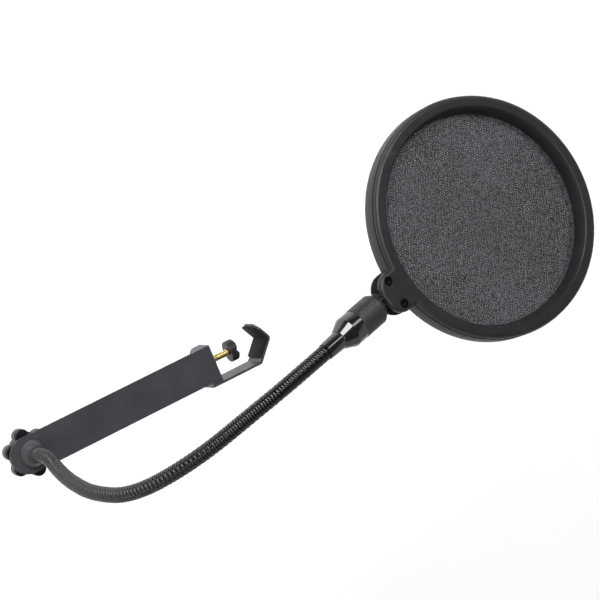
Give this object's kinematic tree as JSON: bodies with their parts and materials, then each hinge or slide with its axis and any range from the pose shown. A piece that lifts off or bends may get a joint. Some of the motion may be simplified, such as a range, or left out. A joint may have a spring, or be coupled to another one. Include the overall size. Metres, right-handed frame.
{
  "type": "microphone pop filter",
  "caption": "Microphone pop filter: a round double-layer mesh screen on a bendable gooseneck, with a flat steel arm that hooks and clamps onto a stand tube.",
  "frame": {"origin": "centre of the stand tube that the hooked clamp grips, at mid height of the jaw", "axes": "+Z along the stand tube, out of the broad face of the arm on the side the gooseneck rises from; +X along the arm from the gooseneck end towards the hook; +Y completes a right-handed set"},
  "size_m": [0.3547, 0.1545, 0.3061],
  "materials": {
    "black_steel_paint": "satin black baked paint on folded steel sheet",
    "black_gloss_metal": "polished black plating, sharp highlights",
    "black_coil": "black plated spring wire, round and wedge wires alternating",
    "base_satin": "satin black, a little lighter than the polished fittings",
    "collar_satin": "satin black, fine turned ribs",
    "brass": "turned brass, bright",
    "zinc_steel": "zinc plated steel",
    "black_hardware": "black oxide socket screws and nuts",
    "black_plastic": "moulded black plastic, fine spark texture",
    "black_rubber": "black rubber, matte",
    "fibre": "dark fibre friction disc",
    "liner_plastic": "black acetal",
    "nylon_mesh": "fine knitted nylon gauze, dark grey"
  },
  "bodies": {
    "arm": {"arm_plate": "black_steel_paint", "hook_liner": "black_rubber", "screw_bush": "brass"},
    "pad_carriage": {"pressure_pad": "black_plastic", "pad_clip": "zinc_steel"},
    "clamp_screw": {"clamp_screw": "brass", "clamp_knob": "black_plastic"},
    "knob_carriage": {"knob_washer": "zinc_steel"},
    "star_knob": {"star_knob": "black_plastic", "knob_insert": "brass"},
    "neck_base": {"friction_disc": "fibre", "base_stud": "zinc_steel", "base_flange": "base_satin", "base_collar": "base_satin", "base_ferrule": "base_satin", "neck_segment_1": "black_coil"},
    "neck_link_2": {"neck_segment_2": "black_coil"},
    "neck_link_3": {"neck_segment_3": "black_coil"},
    "neck_link_4": {"neck_segment_4": "black_coil"},
    "neck_link_5": {"neck_segment_5": "black_coil"},
    "neck_link_6": {"neck_segment_6": "black_coil"},
    "neck_link_7": {"neck_segment_7": "black_coil", "top_ferrule": "black_gloss_metal", "end_barrel": "black_gloss_metal"},
    "ball_stud": {"ribbed_collar": "collar_satin", "ball_stud": "black_gloss_metal"},
    "socket": {"socket_liner_front": "liner_plastic", "socket_liner_rear": "liner_plastic"},
    "head": {"front_hoop": "black_plastic", "rear_hoop": "black_plastic", "mesh_front": "nylon_mesh", "mesh_rear": "nylon_mesh", "mesh_spacer": "black_plastic", "lug_screws": "black_hardware", "lug_nuts": "black_hardware"}
  },
  "joints": [
    {"name": "pad_travel", "type": "slide", "parent": "arm", "child": "pad_carriage", "axis": [1, 0, 0], "range_m": [-0.011, 0.0065]},
    {"name": "clamp_turn", "type": "hinge", "parent": "pad_carriage", "child": "clamp_screw", "pos_m": [0, 0, 0], "axis": [1, 0, 0], "range_deg": [-4900, 2880]},
    {"name": "knob_travel", "type": "slide", "parent": "arm", "child": "knob_carriage", "axis": [0, 0, 1], "range_m": [-0.0026, 0]},
    {"name": "star_turn", "type": "hinge", "parent": "knob_carriage", "child": "star_knob", "pos_m": [-0.1784, 0, 0], "axis": [0, 0, 1], "range_deg": [-720, 0]},
    {"name": "neck_swivel", "type": "hinge", "parent": "arm", "child": "neck_base", "pos_m": [-0.1784, 0, 0.013], "axis": [0, 0, 1], "continuous": true},
    {"name": "neck_bend_1", "type": "hinge", "parent": "neck_base", "child": "neck_link_2", "pos_m": [-0.1834, -0.009, 0.085], "axis": [-0.4688, 0.8819, 0.0486], "range_deg": [-25, 25]},
    {"name": "neck_sway_1", "type": "hinge", "parent": "neck_link_2", "child": "neck_link_3", "pos_m": [-0.1859, -0.01325, 0.1235], "axis": [-0.8808, -0.4683, -0.0695], "range_deg": [-25, 25]},
    {"name": "neck_bend_2", "type": "hinge", "parent": "neck_link_3", "child": "neck_link_4", "pos_m": [-0.1824, -0.01575, 0.1715], "axis": [-0.4742, 0.8768, 0.0799], "range_deg": [-25, 25]},
    {"name": "neck_sway_2", "type": "hinge", "parent": "neck_link_4", "child": "neck_link_5", "pos_m": [-0.16355, -0.00935, 0.22315], "axis": [-0.717, -0.4408, 0.5399], "range_deg": [-25, 25]},
    {"name": "neck_bend_3", "type": "hinge", "parent": "neck_link_5", "child": "neck_link_6", "pos_m": [-0.12865, 0.0066, 0.26485], "axis": [-0.4761, 0.8753, 0.085], "range_deg": [-25, 25]},
    {"name": "neck_sway_3", "type": "hinge", "parent": "neck_link_6", "child": "neck_link_7", "pos_m": [-0.10005, 0.01865, 0.28485], "axis": [-0.2922, -0.2498, 0.9232], "range_deg": [-25, 25]},
    {"name": "stud_roll", "type": "hinge", "parent": "neck_link_7", "child": "ball_stud", "pos_m": [-0.05886, 0.02711, 0.28078], "axis": [0.9606, 0.168, -0.2213], "continuous": true},
    {"name": "head_swing", "type": "hinge", "parent": "ball_stud", "child": "socket", "pos_m": [0.00089, 0.03756, 0.26701], "axis": [0.077, 0.165, 0.9833], "range_deg": [-22, 22]},
    {"name": "head_tilt", "type": "hinge", "parent": "socket", "child": "head", "pos_m": [0.00089, 0.03756, 0.26701], "axis": [0.2031, -0.9681, 0.1466], "range_deg": [-19, 6]}
  ],
  "couplings": [
    {"joint": "pad_travel", "follows": "clamp_turn", "m_per_rad": 0.00012732},
    {"joint": "knob_travel", "follows": "star_turn", "m_per_rad": 0.00019894}
  ]
}
